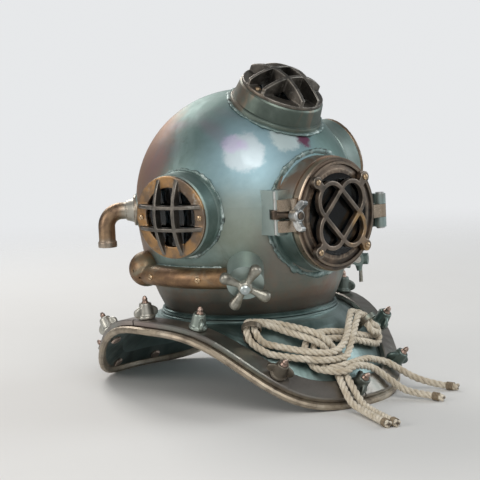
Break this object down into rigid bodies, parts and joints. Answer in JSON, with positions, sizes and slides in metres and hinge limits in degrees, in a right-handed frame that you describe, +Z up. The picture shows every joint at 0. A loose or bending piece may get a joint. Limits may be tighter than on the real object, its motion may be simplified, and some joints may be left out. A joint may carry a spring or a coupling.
{
  "type": "diving helmet",
  "caption": "Deep-sea diving helmet with hinged front door, guarded side and top windows, exhaust valve, air and telephone elbows, bolted breastplate and a line tied through its padeyes.",
  "frame": {"origin": "middle of the footprint on the floor, at the base of the rim's front and rear", "axes": "+Z up, -Y out of the front door, -X to the wearer's right"},
  "size_m": [0.3886, 0.6192, 0.4617],
  "materials": {
    "tinned_copper": "worn tin over copper, satin",
    "brass": "aged, brown, satin",
    "bronze": "dark bronze patina",
    "nut_metal": "hammered, worn plating",
    "steel": "worn",
    "leather": "greased",
    "rubber": "matt",
    "glass": "thick, clear",
    "rope": "natural fibre, three strands"
  },
  "bodies": {
    "breastplate": {"breastplate_shell": "tinned_copper", "breastplate_rim": "tinned_copper", "breastplate_neck_ring": "tinned_copper", "neck_gasket": "leather", "brail_front": "bronze", "brail_rear": "bronze", "brail_right": "bronze", "brail_left": "bronze", "breastplate_studs": "nut_metal", "breastplate_wing_nuts": "nut_metal", "padeyes": "bronze", "latch_bracket": "bronze", "latch_pin": "steel", "line_outer": "rope", "line_inner": "rope"},
    "bonnet": {"latch_catch": "bronze", "bonnet_shell": "tinned_copper", "bonnet_neck_ring": "tinned_copper", "right_window_frame": "tinned_copper", "right_window_gasket": "rubber", "right_window_glass": "glass", "right_window_guard": "brass", "left_window_frame": "tinned_copper", "left_window_gasket": "rubber", "left_window_glass": "glass", "left_window_guard": "brass", "top_window_frame": "tinned_copper", "top_window_gasket": "rubber", "top_window_glass": "glass", "top_window_guard": "brass", "window_screws": "brass", "door_seat": "tinned_copper", "door_seat_gasket": "rubber", "door_hinge_pin": "steel", "swing_bolt_pin": "steel", "exhaust_valve_body": "tinned_copper", "exhaust_channel": "brass", "exhaust_channel_screws": "brass", "air_elbow": "brass", "air_valve_seat": "brass", "telephone_elbow": "brass", "spitcock_body": "tinned_copper", "air_duct_front": "tinned_copper", "air_duct_right": "tinned_copper", "air_duct_left": "tinned_copper"},
    "safety_latch": {"safety_latch": "brass"},
    "door": {"door_frame": "brass", "door_gasket": "rubber", "door_glass": "glass", "door_guard": "brass", "door_guard_screws": "brass"},
    "swing_bolt": {"swing_bolt": "bronze"},
    "door_wing_nut": {"door_wing_nut": "nut_metal"},
    "exhaust_handle": {"exhaust_handle": "brass", "exhaust_handle_cap": "brass", "exhaust_valve_spring": "steel"},
    "exhaust_valve_stem": {"exhaust_valve_stem": "brass"},
    "air_valve_flap": {"air_valve_flap": "leather"},
    "spitcock_lever": {"spitcock_lever": "brass"}
  },
  "joints": [
    {"name": "bonnet_turn", "type": "hinge", "parent": "breastplate", "child": "bonnet", "pos_m": [0, -0.014, 0.115], "axis": [0, 0, 1], "range_deg": [0, 45]},
    {"name": "latch_swing", "type": "hinge", "parent": "breastplate", "child": "safety_latch", "pos_m": [0, 0.129, 0.1129], "axis": [1, 0, 0], "range_deg": [0, 90]},
    {"name": "door_swing", "type": "hinge", "parent": "bonnet", "child": "door", "pos_m": [0.094, -0.1867, 0.251], "axis": [0, 0, 1], "range_deg": [0, 110]},
    {"name": "swing_bolt_pivot", "type": "hinge", "parent": "bonnet", "child": "swing_bolt", "pos_m": [-0.088, -0.1637, 0.262], "axis": [0, 0, -1], "range_deg": [0, 100]},
    {"name": "door_wing_nut_turn", "type": "hinge", "parent": "swing_bolt", "child": "door_wing_nut", "pos_m": [-0.088, -0.193, 0.262], "axis": [0, -1, 0], "continuous": true},
    {"name": "exhaust_handle_turn", "type": "hinge", "parent": "bonnet", "child": "exhaust_handle", "pos_m": [-0.10344, -0.11565, 0.188], "axis": [-0.6566, -0.6452, -0.3907], "range_deg": [0, 900]},
    {"name": "exhaust_valve_lift", "type": "slide", "parent": "bonnet", "child": "exhaust_valve_stem", "axis": [-0.6566, -0.6452, -0.3907], "range_m": [0, 0.008], "stiffness_N_per_m": 200},
    {"name": "air_valve_flap_swing", "type": "hinge", "parent": "bonnet", "child": "air_valve_flap", "pos_m": [-0.1125, 0.0804, 0.272], "axis": [-0.6428, -0.766, 0], "range_deg": [0, 50]},
    {"name": "spitcock_turn", "type": "hinge", "parent": "bonnet", "child": "spitcock_lever", "pos_m": [0.0877, -0.14904, 0.181], "axis": [-0.8387, -0.5446, 0], "range_deg": [0, 90]}
  ]
}
